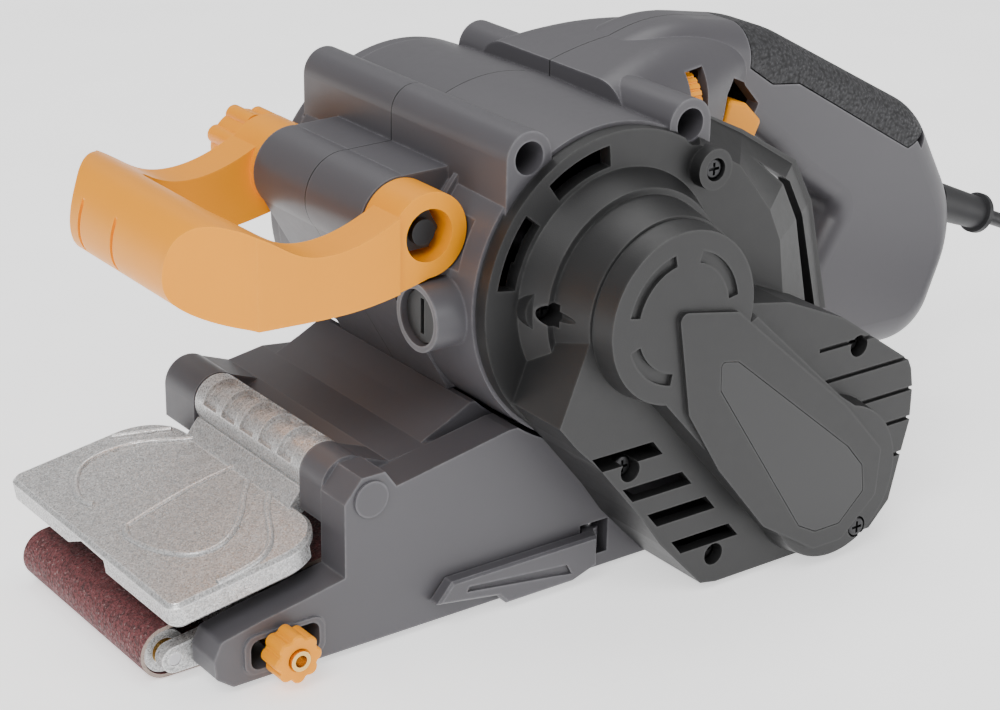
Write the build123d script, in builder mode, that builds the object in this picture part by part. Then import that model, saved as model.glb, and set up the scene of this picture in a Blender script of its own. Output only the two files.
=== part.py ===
from build123d import *
from math import atan, cos, degrees, hypot, pi, radians, sin, tan
import os

os.makedirs("parts", exist_ok=True)

# Frame: origin in the middle of the flat sanding run, z = 0 on the work surface.
# +X runs back to the rear handle, +Z up, -Y is the side with the drive belt cover.

# ---- driving dimensions, mm ----
belt_width = 76.0
belt_length = 508.0
belt_thickness = 1.2
front_belt_radius = 7.0
drive_belt_radius = 20.3
roller_gap = 0.3
running_gap = 0.04
motor_x = 37.0
motor_z = 98.3
barrel_radius = 51.0
barrel_bore = 45.5
barrel_near_y = -58.0
barrel_far_y = 49.0
wall_y = -57.0
wall_inner_y = -44.0
deck_far_y = 50.0
deck_under_z = 45.5
deck_top_z = 50.4
clamp_tube_x = (6.2, 66.2)
clamp_tube_z = 142.7
clamp_tube_radius = 8.0
clamp_bore_radius = 5.0
handle_x = -19.3
handle_z = 120.5
handle_hub_radius = 13.0
boss_half_width = 30.0
guard_pin_x = -47.0
guard_pin_z = 48.7
guard_half_width = 52.0
lever_pin_x = 36.0
lever_pin_y = -53.4
knob_x = -78.0
knob_z = 10.3
ring_face_y = -63.0
plate_face_y = -86.0
cover_face_y = -94.0
brush_y = -45.0
brush_drop = 2.6
grip_half_width = 18.0
tooth_pitch = 2.032
motor_teeth = 10
drive_teeth = 34
cord_diameter = 5.6
shell_gap = 0.05


def side(y):
    """Sketch plane across the machine at y: local x is X, local y is Z, extrude runs to -Y."""
    return Plane.XZ.offset(-y)


def sector(radius_in, radius_out, start, size):
    """Ring sector face about the sketch origin, angles in degrees."""
    with BuildSketch() as shape:
        with BuildLine():
            outer = CenterArc((0, 0), radius_out, start, size)
            inner = CenterArc((0, 0), radius_in, start, size)
            Line(outer @ 0, inner @ 0)
            Line(outer @ 1, inner @ 1)
        make_face()
    return shape.sketch


def outline(*points):
    """Face with straight sides through the points."""
    with BuildSketch() as shape:
        with BuildLine():
            Polyline(*points, close=True)
        make_face()
    return shape.sketch


def block(across, up):
    """Rectangle between two local x values and two local y values."""
    return outline((across[0], up[0]), (across[1], up[0]), (across[1], up[1]), (across[0], up[1]))


def tubes(grow):
    """Ends of the two cross tubes with the webs that join them to the barrel."""
    with BuildSketch() as shape:
        for x in clamp_tube_x:
            with Locations((x, clamp_tube_z)):
                Circle(clamp_tube_radius + grow)
        add(block((clamp_tube_x[0] - 8 - grow, clamp_tube_x[0] + 8 + grow), (112, clamp_tube_z)))
        add(block((clamp_tube_x[1] - 6 - grow, clamp_tube_x[1] + 8 + grow), (120, clamp_tube_z)))
    return shape.sketch


def cylinder_y(x, z, radius, high, low, bore=0.0):
    """Plain round piece along Y between two y values, with an optional bore."""
    with BuildPart() as piece:
        with BuildSketch(side(high)):
            with Locations((x, z)):
                Circle(radius)
                if bore:
                    Circle(bore, mode=Mode.SUBTRACT)
        extrude(amount=high - low)
    return piece.part


def screw(length):
    """Pan head screw with a cross recess: head on +Z above the origin, shank below."""
    with BuildPart() as piece:
        Cylinder(3.2, 2.2, align=(Align.CENTER, Align.CENTER, Align.MIN))
        fillet(piece.edges().sort_by(Axis.Z)[-1], radius=0.9)
        with BuildSketch(Plane.XY.offset(2.2)):
            Rectangle(4, 0.9)
            Rectangle(0.9, 4)
        extrude(amount=-1.2, mode=Mode.SUBTRACT)
        Cylinder(1.5, length, align=(Align.CENTER, Align.CENTER, Align.MAX))
    return piece.part


def rims(piece, low_x, high_x):
    """Edges on the two flat sides of the handle that lie between two x values."""
    flat = [edge for edge in piece.edges() if abs(abs(edge.center().Y) - grip_half_width) < 0.01]
    return [edge for edge in flat if edge.bounding_box().max.X > 70
            and low_x - 40 * (low_x < 80) < edge.bounding_box().min.X
            and edge.bounding_box().max.X < high_x]


def save(piece, name):
    """Label a finished piece and write its STEP file."""
    piece.part.label = name
    export_step(piece.part, f"parts/{name}.step")


# ---- belt path: flat run below, sloping return run above ----
radius_step = drive_belt_radius - front_belt_radius
run_length = belt_length / 2
for _ in range(6):
    lean = atan(radius_step / run_length)
    run_length = (belt_length - pi * (front_belt_radius + drive_belt_radius) - 2 * lean * radius_step) / 2
front_x = -run_length / 2
drive_x = run_length / 2
front_z = belt_thickness + front_belt_radius
drive_z = belt_thickness + drive_belt_radius
belt_half = belt_width / 2
roller_half = belt_half - 0.8
front_roller_radius = front_belt_radius - roller_gap
drive_roller_radius = drive_belt_radius - roller_gap
motor_pulley_radius = motor_teeth * tooth_pitch / (2 * pi)
drive_pulley_radius = drive_teeth * tooth_pitch / (2 * pi)


def wrapped(centre_a, radius_a, centre_b, radius_b):
    """Face of the open-belt loop around two circles, a on the left of b or above it."""
    with BuildSketch() as shape:
        with Locations(centre_a):
            Circle(radius_a)
        with Locations(centre_b):
            Circle(radius_b)
        make_hull()
    return shape.sketch


def belt_loop(grow):
    """Loop around both rollers, grown outwards from the belt's inner face."""
    small = front_belt_radius + grow
    large = drive_belt_radius + grow
    return wrapped((front_x, front_z), small, (drive_x, drive_z), large)


# ---- sanding belt and its rollers ----
with BuildPart() as sanding_belt:
    with BuildSketch(side(belt_half)):
        add(belt_loop(belt_thickness))
        add(belt_loop(0), mode=Mode.SUBTRACT)
    extrude(amount=belt_width)
save(sanding_belt, "sanding_belt")

axle_radius = 2.0
front_bearing_radius = 4.0
front_bearing_length = 8.0
with BuildPart() as front_roller:
    with BuildSketch(side(roller_half)):
        with Locations((front_x, front_z)):
            Circle(front_roller_radius)
            Circle(axle_radius + 1, mode=Mode.SUBTRACT)
    extrude(amount=2 * roller_half)
    for y in (roller_half, front_bearing_length - roller_half):
        with BuildSketch(side(y)):
            with Locations((front_x, front_z)):
                Circle(front_bearing_radius)
        extrude(amount=front_bearing_length, mode=Mode.SUBTRACT)
save(front_roller, "front_roller")

with BuildPart() as front_roller_bearings:
    for y in (roller_half, front_bearing_length - roller_half):
        with BuildSketch(side(y)):
            with Locations((front_x, front_z)):
                Circle(front_bearing_radius - 0.01)
                Circle(axle_radius + running_gap, mode=Mode.SUBTRACT)
        extrude(amount=front_bearing_length)
save(front_roller_bearings, "front_roller_bearings")

near_arm_y = (wall_inner_y + 0.5, -belt_half - 1.2)
far_arm_y = (belt_half + 0.7, belt_half + 4.5)
with BuildPart() as front_roller_axle:
    with BuildSketch(side(far_arm_y[1] - 0.3)):
        with Locations((front_x, front_z)):
            Circle(axle_radius)
    extrude(amount=far_arm_y[1] - near_arm_y[0] - 0.6)
save(front_roller_axle, "front_roller_axle")

crossbar_x = (-84.0, -72.0)
crossbar_z = (4.4, 15.4)
stem_half = 8.0
stem_z = (5.0, 13.0)
stem_end_x = -45.0
with BuildPart() as roller_carriage:
    for high, low in ((near_arm_y[1], near_arm_y[0]), (far_arm_y[1], far_arm_y[0])):
        with BuildSketch(side(high)):
            with Locations((front_x, front_z)):
                Circle(4.2)
            add(outline(
                (front_x, front_z - 4.2),
                (crossbar_x[1], crossbar_z[0]),
                (crossbar_x[1], crossbar_z[1]),
                (crossbar_x[0], crossbar_z[1]),
                (front_x, front_z + 4.2),
            ))
            with Locations((front_x, front_z)):
                Circle(axle_radius + 0.01, mode=Mode.SUBTRACT)
        extrude(amount=high - low)
    with BuildSketch(side(far_arm_y[1])):
        add(block(crossbar_x, crossbar_z))
    extrude(amount=far_arm_y[1] - near_arm_y[0])
    with BuildSketch(side(stem_half)):
        add(block((crossbar_x[1] - 1, stem_end_x), stem_z))
    extrude(amount=2 * stem_half)
    # threaded hole for the tracking screw
    with BuildSketch(side(near_arm_y[0] + 14)):
        with Locations((knob_x, knob_z)):
            Circle(3.05)
    extrude(amount=14, mode=Mode.SUBTRACT)
save(roller_carriage, "roller_carriage")

drive_shaft_radius = 5.0
sleeve_thickness = 1.6
with BuildPart() as drive_roller:
    with BuildSketch(side(roller_half)):
        with Locations((drive_x, drive_z)):
            Circle(drive_roller_radius - sleeve_thickness)
            Circle(drive_shaft_radius + 0.01, mode=Mode.SUBTRACT)
    extrude(amount=2 * roller_half)
    # lightening recess in the open end
    with BuildSketch(side(roller_half)):
        with Locations((drive_x, drive_z)):
            Circle(drive_roller_radius - 4.5)
            Circle(drive_shaft_radius + 3, mode=Mode.SUBTRACT)
    extrude(amount=24, mode=Mode.SUBTRACT)
save(drive_roller, "drive_roller")

with BuildPart() as roller_rubber_sleeve:
    with BuildSketch(side(roller_half)):
        with Locations((drive_x, drive_z)):
            Circle(drive_roller_radius)
            Circle(drive_roller_radius - sleeve_thickness + 0.01, mode=Mode.SUBTRACT)
    extrude(amount=2 * roller_half)
save(roller_rubber_sleeve, "roller_rubber_sleeve")

pulley_y = (-81.0, -91.0)
with BuildPart() as drive_shaft:
    with BuildSketch(side(belt_half + 1)):
        with Locations((drive_x, drive_z)):
            Circle(drive_shaft_radius)
    extrude(amount=belt_half + 1 - pulley_y[1])
save(drive_shaft, "drive_shaft")

roller_bearing_radius = 11.0
roller_bearing_y = (-49.0, -64.0)
roller_bearing_width = 7.0
with BuildPart() as roller_bearings:
    for y in roller_bearing_y:
        with BuildSketch(side(y)):
            with Locations((drive_x, drive_z)):
                Circle(roller_bearing_radius)
                Circle(drive_shaft_radius + running_gap, mode=Mode.SUBTRACT)
        extrude(amount=roller_bearing_width)
save(roller_bearings, "roller_bearings")

# ---- platen between the runs ----
platen_x = (-62.0, 76.0)
with BuildPart() as platen_plate:
    with BuildSketch(side(belt_half - 1)):
        add(block(platen_x, (belt_thickness + 0.05, belt_thickness + 0.85)))
    extrude(amount=belt_width - 2)
save(platen_plate, "platen_plate")

with BuildPart() as platen_cork:
    with BuildSketch(side(belt_half - 1)):
        add(block(platen_x, (belt_thickness + 0.9, belt_thickness + 2.8)))
    extrude(amount=belt_width - 2)
save(platen_cork, "platen_cork")

# ---- cast base frame: near wall, inner beam, deck, rear wall and guard ears ----
slot_x = (-88.5, -65.5)
slot_z = (5.5, 15.1)
spring_x = (-44.5, -22.0)
hinge_ear_radius = 8.5
hinge_half = 31.5
lever_recess_x = (30.5, 41.5)
with BuildPart() as base_frame:
    with BuildSketch(side(wall_inner_y)) as wall_face:
        add(outline(
            (-94, 2), (-99.5, 6), (-100, 12), (-97.5, 17.4), (-84.8, 20.2), (-71.5, 22.5),
            (-56, 25.5), (-56, 49), (-50, 56), (-42, 56), (-38, 50.4), (2.6, 57.9),
            (30, 57.9), (90, 57.9), (134, 52), (136, 44), (136, 6), (132, 2),
        ))
        fillet(wall_face.vertices().sort_by(Axis.X)[:4], radius=1.8)
    extrude(amount=wall_inner_y - wall_y)
    # beam that carries the platen inside the belt
    with BuildSketch(side(belt_half - 2)):
        add(outline((platen_x[0], 4.1), (platen_x[1], 4.1), (platen_x[1], 33), (platen_x[0], 17.5)))
    extrude(amount=belt_half - 2 - wall_inner_y)
    # deck above the belt, closed at the rear
    with BuildSketch(side(deck_far_y)) as deck_face:
        add(outline(
            (-38, deck_under_z), (129, deck_under_z), (129, 6), (136, 6), (136, 44),
            (134, deck_top_z), (10, deck_top_z), (-19.3, 53.8), (-32, 51.8), (-38, 49),
        ))
    extrude(amount=deck_far_y - wall_inner_y)
    # saddle that rises to the barrel
    with BuildSketch(side(wall_inner_y * -1 - 2)):
        add(outline((-30, 51), (-19.3, 53.8), (-10, 58), (-1.3, 62.4), (30, 62.4), (30, 50.4)))
    extrude(amount=2 * (-wall_inner_y - 2))
    # ears for the guard hinge
    for high, low in ((-hinge_half, wall_inner_y), (deck_far_y, hinge_half)):
        with BuildSketch(side(high)):
            with Locations((guard_pin_x, guard_pin_z)):
                Circle(hinge_ear_radius)
            add(outline((-55.5, 48.7), (-55.5, 38), (-38, 38), (-30, 45.5), (-30, 51), (-42, 55.5)))
        extrude(amount=high - low)
    with BuildSketch(side(deck_far_y)):
        with Locations((guard_pin_x, guard_pin_z)):
            Circle(1.55)
    extrude(amount=deck_far_y - wall_y, mode=Mode.SUBTRACT)
    # seat of the barrel
    with BuildSketch(side(deck_far_y)):
        with Locations((motor_x, motor_z)):
            Circle(barrel_radius + 0.15)
    extrude(amount=deck_far_y - wall_y, mode=Mode.SUBTRACT)
    # room for the guard's hinge barrel
    with BuildSketch(side(hinge_half)):
        with Locations((guard_pin_x, guard_pin_z)):
            Circle(hinge_ear_radius + 0.5)
    extrude(amount=2 * hinge_half, mode=Mode.SUBTRACT)
    # tracking slot, open through the wall
    with BuildSketch(side(wall_inner_y)):
        with Locations(((slot_x[0] + slot_x[1]) / 2, (slot_z[0] + slot_z[1]) / 2)):
            RectangleRounded(slot_x[1] - slot_x[0], slot_z[1] - slot_z[0], 3)
    extrude(amount=wall_inner_y - wall_y, mode=Mode.SUBTRACT)
    # raised rim round the slot
    with BuildSketch(side(wall_y)):
        with Locations(((slot_x[0] + slot_x[1]) / 2, (slot_z[0] + slot_z[1]) / 2)):
            RectangleRounded(slot_x[1] - slot_x[0] + 4, slot_z[1] - slot_z[0] + 3, 4)
            RectangleRounded(slot_x[1] - slot_x[0], slot_z[1] - slot_z[0], 3, mode=Mode.SUBTRACT)
    extrude(amount=0.8)
    # guide slot for the carriage stem and its spring
    with BuildSketch(side(stem_half + 0.4)):
        add(block((platen_x[0] - 1, spring_x[1] + 0.3), (stem_z[0] - 0.4, stem_z[1] + 0.4)))
    extrude(amount=2 * stem_half + 0.8, mode=Mode.SUBTRACT)
    # bearing seat and shaft passage of the drive roller
    with BuildSketch(side(roller_bearing_y[0])):
        with Locations((drive_x, drive_z)):
            Circle(roller_bearing_radius + 0.02)
    extrude(amount=10, mode=Mode.SUBTRACT)
    with BuildSketch(side(wall_inner_y)):
        with Locations((drive_x, drive_z)):
            Circle(8)
    extrude(amount=10, mode=Mode.SUBTRACT)
    # knuckle recess of the tension lever with its pin bore
    with BuildSketch(side(-48.5)):
        add(block(lever_recess_x, (6.5, 18.0)))
    extrude(amount=10, mode=Mode.SUBTRACT)
    with BuildSketch(Plane.XY.offset(2)):
        with Locations((lever_pin_x, lever_pin_y)):
            Circle(1.55)
    extrude(amount=20, mode=Mode.SUBTRACT)
    # dust passage above the drive roller
    with BuildSketch(Plane.XY.offset(40)):
        with Locations((115, 20)):
            RectangleRounded(20, 40, 4)
    extrude(amount=20, mode=Mode.SUBTRACT)
save(base_frame, "base_frame")

with BuildPart() as guard_hinge_pin:
    with BuildSketch(side(deck_far_y - 0.2)):
        with Locations((guard_pin_x, guard_pin_z)):
            Circle(1.5)
    extrude(amount=deck_far_y - wall_y)
    with BuildSketch(side(wall_y)):
        with Locations((guard_pin_x, guard_pin_z)):
            Circle(5.7)
    extrude(amount=0.7)
save(guard_hinge_pin, "guard_hinge_pin")

with BuildPart() as tension_lever_pin:
    with BuildSketch(Plane.XY.offset(2.5)):
        with Locations((lever_pin_x, lever_pin_y)):
            Circle(1.5)
    extrude(amount=19)
save(tension_lever_pin, "tension_lever_pin")

spring_radius = 3.2
spring_wire = 0.6
spring_turns = 8
spring_pitch = (spring_x[1] - spring_x[0] - 2 * spring_wire) / (spring_turns - 1)
with BuildPart() as tension_spring:
    for turn in range(spring_turns):
        turn_x = spring_x[0] + spring_wire + turn * spring_pitch
        with Locations(Location((turn_x, 0, (stem_z[0] + stem_z[1]) / 2), (0, 90, 0))):
            Torus(spring_radius, spring_wire)
save(tension_spring, "tension_spring")

# ---- front guard ----
guard_tilt = 9.0
guard_rear = (-56.7, 38.5)
guard_length = 54.5
guard_thickness = 3.0
guard_skirt = 8.0
guard_plane = Plane(
    origin=(guard_rear[0], 0, guard_rear[1]),
    x_dir=(-cos(radians(guard_tilt)), 0, -sin(radians(guard_tilt))),
    z_dir=(-sin(radians(guard_tilt)), 0, cos(radians(guard_tilt))),
)
with BuildPart() as front_guard:
    with BuildSketch(guard_plane) as guard_face:
        with Locations((guard_length / 2, 0)):
            Rectangle(guard_length, 2 * guard_half_width)
        fillet(guard_face.vertices().group_by(Axis.X)[-1], radius=4)
        fillet(guard_face.vertices().sort_by(Axis.X)[:2], radius=17)
    extrude(amount=-guard_skirt)
    chamfer(front_guard.faces().sort_by(Axis.Z)[-1].edges(), length=1.2)
    # hollow under the plate
    with BuildSketch(guard_plane.offset(-guard_thickness)) as guard_hollow:
        with Locations((guard_length / 2 - 3.5, 0)):
            Rectangle(guard_length, 2 * guard_half_width - 6)
        fillet(guard_hollow.vertices().sort_by(Axis.X)[:2], radius=14)
    extrude(amount=-guard_skirt, mode=Mode.SUBTRACT)
    # shallow notch in the front skirt
    with BuildSketch(Plane.YZ.offset(-120)):
        add(outline((-11, 10), (-11, 27.5), (3, 28), (18, 21), (18, 10)))
    extrude(amount=20, mode=Mode.SUBTRACT)
    # web and hinge barrel
    with BuildSketch(side(hinge_half - 0.5)):
        with Locations((guard_pin_x, guard_pin_z)):
            Circle(8.3)
        add(outline((-54.5, 44), (-58.5, 39), (-60, 35.5), (-55.8, 34.9), (-44, 42)))
        with Locations((guard_pin_x, guard_pin_z)):
            Circle(1.5 + running_gap, mode=Mode.SUBTRACT)
    extrude(amount=2 * hinge_half - 1)
    # pockets along the barrel
    for y in (-22, -11, 0, 11, 22):
        with BuildSketch(side(y + 4)):
            with Locations((guard_pin_x, guard_pin_z)):
                add(sector(6.6, 12, 60, 110))
        extrude(amount=8, mode=Mode.SUBTRACT)
save(front_guard, "front_guard")

# ---- belt tension lever ----
with BuildPart() as tension_lever:
    with BuildSketch(side(-57.4)):
        add(outline((-26.5, 9.5), (-21, 15.7), (34, 15.7), (34, 5.4), (25, 2.4), (-0.7, 2.4), (-4, 6)))
    extrude(amount=4.4)
    chamfer(tension_lever.faces().sort_by(Axis.Y)[0].edges(), length=0.8)
    with BuildSketch(side(-60.6)):
        add(outline((-15.8, 11), (-15, 12.6), (22, 9), (23.9, 5.4), (18, 6.4)))
    extrude(amount=2, mode=Mode.SUBTRACT)
    with BuildSketch(Plane.XY.offset(8)):
        with Locations((lever_pin_x, lever_pin_y)):
            Circle(3.4)
        add(outline((29.5, -60), (34, -60), (37, -55), (35, -51), (33.2, -54.5)))
        with Locations((lever_pin_x, lever_pin_y)):
            Circle(1.5 + running_gap, mode=Mode.SUBTRACT)
    extrude(amount=7.5)
save(tension_lever, "tension_lever")

# ---- tracking knob ----
with BuildPart() as tracking_knob:
    with BuildSketch(side(-58.6)):
        with Locations((knob_x, knob_z)):
            Circle(6.6)
        with Locations((knob_x, knob_z)):
            with PolarLocations(5.4, 8):
                Circle(2.3)
        with Locations((knob_x, knob_z)):
            Circle(3.2, mode=Mode.SUBTRACT)
    extrude(amount=8.4)
    chamfer(tracking_knob.faces().sort_by(Axis.Y)[0].edges(), length=0.5)
save(tracking_knob, "tracking_knob")

with BuildPart() as tracking_insert:
    with BuildSketch(side(near_arm_y[0] + 12)):
        with Locations((knob_x, knob_z)):
            Circle(3.0)
    extrude(amount=near_arm_y[0] + 12 + 58.6)
    with BuildSketch(side(-58.6)):
        with Locations((knob_x, knob_z)):
            Circle(3.15)
    extrude(amount=9.4)
    with BuildSketch(side(-64)):
        with Locations((knob_x, knob_z)):
            Circle(1.9)
    extrude(amount=5, mode=Mode.SUBTRACT)
save(tracking_insert, "tracking_insert")

# ---- moulded housing: one blank, cut at the centre plane into two shells ----
grip_points = [(50, 100), (60, 148), (98, 159.5), (138, 152.5), (213, 112), (238, 68), (220, 24), (140, 26), (100, 50)]
grip_radii = [5, 12, 60, 60, 34, 40, 22, 10, 5]
rim_radius = 12.0
loop_rim_radius = 7.0
loop_points = [(110, 63), (109, 118), (117, 128), (139, 112), (153, 98.4), (173, 84), (162.7, 67.9), (150, 53)]
housing_screw_points = ((-17, 103), (79, 57), (104, 110), (150, 37), (219, 52), (197, 80))
pod_radius = 10.5
pod_face_x = -23.0
trigger_dir = (0.518, 0, 0.855)
dial_x = 91.5
dial_axis = (-23.5, 138)
with BuildPart() as housing_blank:
    # rear D handle with rounded rims and its finger loop
    with BuildSketch(side(grip_half_width)):
        with BuildLine():
            FilletPolyline(*grip_points, close=True, radius=grip_radii)
        make_face()
    extrude(amount=2 * grip_half_width)
    fillet(rims(housing_blank, 70, 240), radius=rim_radius)
    with BuildSketch(side(grip_half_width)):
        with BuildLine():
            FilletPolyline(*loop_points, close=True, radius=5)
        make_face()
    extrude(amount=2 * grip_half_width, mode=Mode.SUBTRACT)
    fillet(rims(housing_blank, 105, 176), radius=loop_rim_radius)
    # flare that spreads from the grip to the barrel
    with BuildSketch(Plane.YZ.offset(58)):
        with Locations((0, 128)):
            RectangleRounded(78, 44, 14)
    with BuildSketch(Plane.YZ.offset(92)):
        with Locations((0, 132)):
            RectangleRounded(66, 46, 18)
    with BuildSketch(Plane.YZ.offset(126)):
        with Locations((0, 139)):
            RectangleRounded(2 * grip_half_width - 1.6, 20, 8)
    loft()
    # barrel, drafted both ways from the centre plane
    with Locations(Location((motor_x, 0, motor_z), (90, 0, 0))):
        Cone(barrel_radius, barrel_radius - 1.4, -barrel_near_y, align=(Align.CENTER, Align.CENTER, Align.MIN))
    with Locations(Location((motor_x, 0, motor_z), (-90, 0, 0))):
        Cone(barrel_radius, barrel_radius - 1.0, barrel_far_y, align=(Align.CENTER, Align.CENTER, Align.MIN))
    # block behind the barrel
    with BuildSketch(side(-wall_inner_y - 1)) as block_face:
        add(outline((40, 140), (96, 129), (110, 118), (111, 62), (134, 56), (135.5, deck_top_z + 0.2),
                    (60, deck_top_z + 0.2)))
        fillet(block_face.vertices().sort_by(Axis.X)[-1], radius=1)
    extrude(amount=-2 * wall_inner_y - 2)
    # neck and boss of the front handle
    with BuildSketch(side(boss_half_width)):
        add(outline((-29.2, 111.5), (-1.3, 62.7), (30, 62.7), (motor_x, 139), (0.3, 134), (-17, 133.8)))
        with Locations((handle_x, handle_z)):
            Circle(13.4)
    extrude(amount=2 * boss_half_width)
    # two cross tubes, the front one on a web
    with BuildSketch(side(deck_far_y)):
        add(tubes(0))
    extrude(amount=deck_far_y + 59)
    # brush pod on the barrel's front
    with BuildSketch(Plane.YZ.offset(pod_face_x)):
        with Locations((brush_y, motor_z - brush_drop)):
            Circle(pod_radius)
    extrude(amount=20)
    # raised band on the barrel beside the boss
    with BuildSketch(side(-33)):
        with Locations((motor_x, motor_z)):
            add(sector(barrel_radius - 2, barrel_radius + 0.9, 130, 40))
    extrude(amount=2)
    # ---- openings ----
    with BuildSketch(side(deck_far_y)):
        with Locations((motor_x, motor_z)):
            Circle(barrel_bore)
        for x in clamp_tube_x:
            with Locations((x, clamp_tube_z)):
                Circle(clamp_bore_radius)
    extrude(amount=deck_far_y + 60, mode=Mode.SUBTRACT)
    for high, low in ((-boss_half_width - 0.3, -49.5), (49.5, boss_half_width + 0.3)):
        with BuildSketch(side(high)):
            with Locations((handle_x, handle_z)):
                Circle(handle_hub_radius + 0.9)
        extrude(amount=high - low, mode=Mode.SUBTRACT)
    with BuildSketch(side(boss_half_width)):
        with Locations((handle_x, handle_z)):
            Circle(4.05)
    extrude(amount=2 * boss_half_width, mode=Mode.SUBTRACT)
    # brush cap recesses, front and rear
    with BuildSketch(Plane.YZ.offset(pod_face_x)):
        with Locations((brush_y, motor_z - brush_drop)):
            Circle(8.6)
    extrude(amount=10, mode=Mode.SUBTRACT)
    with BuildSketch(Plane.YZ.offset(pod_face_x)):
        with Locations((brush_y, motor_z - brush_drop)):
            Circle(7)
    extrude(amount=20, mode=Mode.SUBTRACT)
    with BuildSketch(Plane.YZ.offset(80)):
        with Locations((brush_y, motor_z + brush_drop)):
            Circle(9.2)
    extrude(amount=20, mode=Mode.SUBTRACT)
    # hollow of the handle for the switch and the speed module
    with BuildSketch(side(12.5)):
        add(outline((96, 136), (94, 150), (120, 149.5), (141, 140), (186, 117), (206, 96), (196, 92),
                    (176, 96), (156, 106), (142, 116), (121, 131)))
    extrude(amount=25, mode=Mode.SUBTRACT)
    # trigger mouth in the roof of the finger loop
    with BuildSketch(side(10.5)):
        add(outline((112, 117), (120, 141), (148, 129), (146, 104), (130, 105)))
    extrude(amount=21, mode=Mode.SUBTRACT)
    # side recess that frees the trigger's thumb lug
    with BuildSketch(side(-6)) as lug_room:
        add(outline((105.5, 121), (110.2, 137), (114.5, 141), (123.5, 137), (131, 128.5), (124, 113), (108, 113)))
    extrude(amount=35, mode=Mode.SUBTRACT)
    # room for the speed control
    with BuildSketch(side(8.4)):
        add(block((dial_x - 2.2, dial_x + 7.9), (135.6, 146.4)))
    extrude(amount=34, mode=Mode.SUBTRACT)
    # seat of the rubber grip: cheeks on both sides and a band along the top
    for high in (grip_half_width + 1, -grip_half_width + 2.6):
        with BuildSketch(side(high)):
            add(outline((128, 158), (126.5, 141), (137, 133.8), (149, 132.2), (203, 100.4), (217, 106), (203, 130)))
        extrude(amount=3.6, mode=Mode.SUBTRACT)
    with BuildSketch(side(grip_half_width + 1)):
        with BuildLine():
            Polyline((128, 160), (127, 146.5), (140, 142.2))
            Spline((140, 142.2), (178, 124.5), (210, 99), tangents=[(1, -0.36), (0.6, -1)])
            Polyline((210, 99), (217, 106), (203, 140), (128, 160))
        make_face()
    extrude(amount=2 * grip_half_width + 2, mode=Mode.SUBTRACT)
    # dial window on the near cheek of the flare
    with BuildSketch(side(-9)):
        add(block((dial_x - 3.2, dial_x + 5.9), (127.6, 148.4)))
    extrude(amount=32, mode=Mode.SUBTRACT)
    # lock button hole in the far cheek
    with BuildSketch(side(grip_half_width + 2)):
        with Locations((132, 127)):
            Circle(5.4)
    extrude(amount=8, mode=Mode.SUBTRACT)
    # dust passage and port seat on the far side
    with BuildSketch(Plane.XY.offset(50)):
        with Locations((98, 24)):
            RectangleRounded(16, 36, 4)
    extrude(amount=34, mode=Mode.SUBTRACT)
    with BuildSketch(side(46)):
        with Locations((98, 74)):
            Circle(10)
    extrude(amount=20, mode=Mode.SUBTRACT)
    # screw wells in the far shell
    for x, z in housing_screw_points:
        with BuildSketch(side(50)):
            with Locations((x, z)):
                Circle(3.4)
        extrude(amount=35, mode=Mode.SUBTRACT)
        with BuildSketch(side(16)):
            with Locations((x, z)):
                Circle(1.6)
        extrude(amount=16, mode=Mode.SUBTRACT)
    # room for the base's deck and rear wall
    with BuildSketch(side(deck_far_y)):
        add(block((40, 136.2), (0, deck_top_z + 0.1)))
    extrude(amount=deck_far_y + 60, mode=Mode.SUBTRACT)
    # cable entry at the rear of the handle
    with Locations(Location((212, 0, 80), (0, 111.7, 0))):
        Cylinder(5.2, 40, mode=Mode.SUBTRACT)

left_half = split(housing_blank.part, bisect_by=side(-shell_gap), keep=Keep.TOP)
right_half = split(housing_blank.part, bisect_by=side(shell_gap), keep=Keep.BOTTOM)
with BuildPart() as housing_left:
    add(left_half)
save(housing_left, "housing_left")
with BuildPart() as housing_right:
    add(right_half)
save(housing_right, "housing_right")

# ---- covers ----
with BuildPart() as right_end_cover:
    with BuildSketch(side(56)):
        with Locations((motor_x, motor_z)):
            Circle(barrel_radius - 1.2)
    extrude(amount=56 - barrel_far_y - 0.1)
    fillet(right_end_cover.faces().sort_by(Axis.Y)[-1].edges(), radius=3)
    with BuildSketch(side(barrel_far_y + 0.1)):
        with Locations((motor_x, motor_z)):
            Circle(barrel_bore - 0.1)
            Circle(barrel_bore - 3, mode=Mode.SUBTRACT)
            Circle(11.5)
    extrude(amount=5)
    # bearing seat
    with BuildSketch(side(50.5)):
        with Locations((motor_x, motor_z)):
            Circle(8.02)
    extrude(amount=8, mode=Mode.SUBTRACT)
    # air slots in rings
    for ring, count in ((22, 8), (32, 12)):
        with BuildSketch(side(57)):
            with Locations((motor_x, motor_z)):
                for step in range(count):
                    add(sector(ring, ring + 5, step * 360 / count, 240 / count))
        extrude(amount=9, mode=Mode.SUBTRACT)
    with BuildSketch(side(57)):
        with Locations((handle_x, handle_z)):
            Circle(handle_hub_radius + 1)
    extrude(amount=16, mode=Mode.SUBTRACT)
    with BuildSketch(side(deck_far_y + 0.2)):
        add(tubes(0.3))
    extrude(amount=6, mode=Mode.SUBTRACT)
save(right_end_cover, "right_end_cover")

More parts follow.
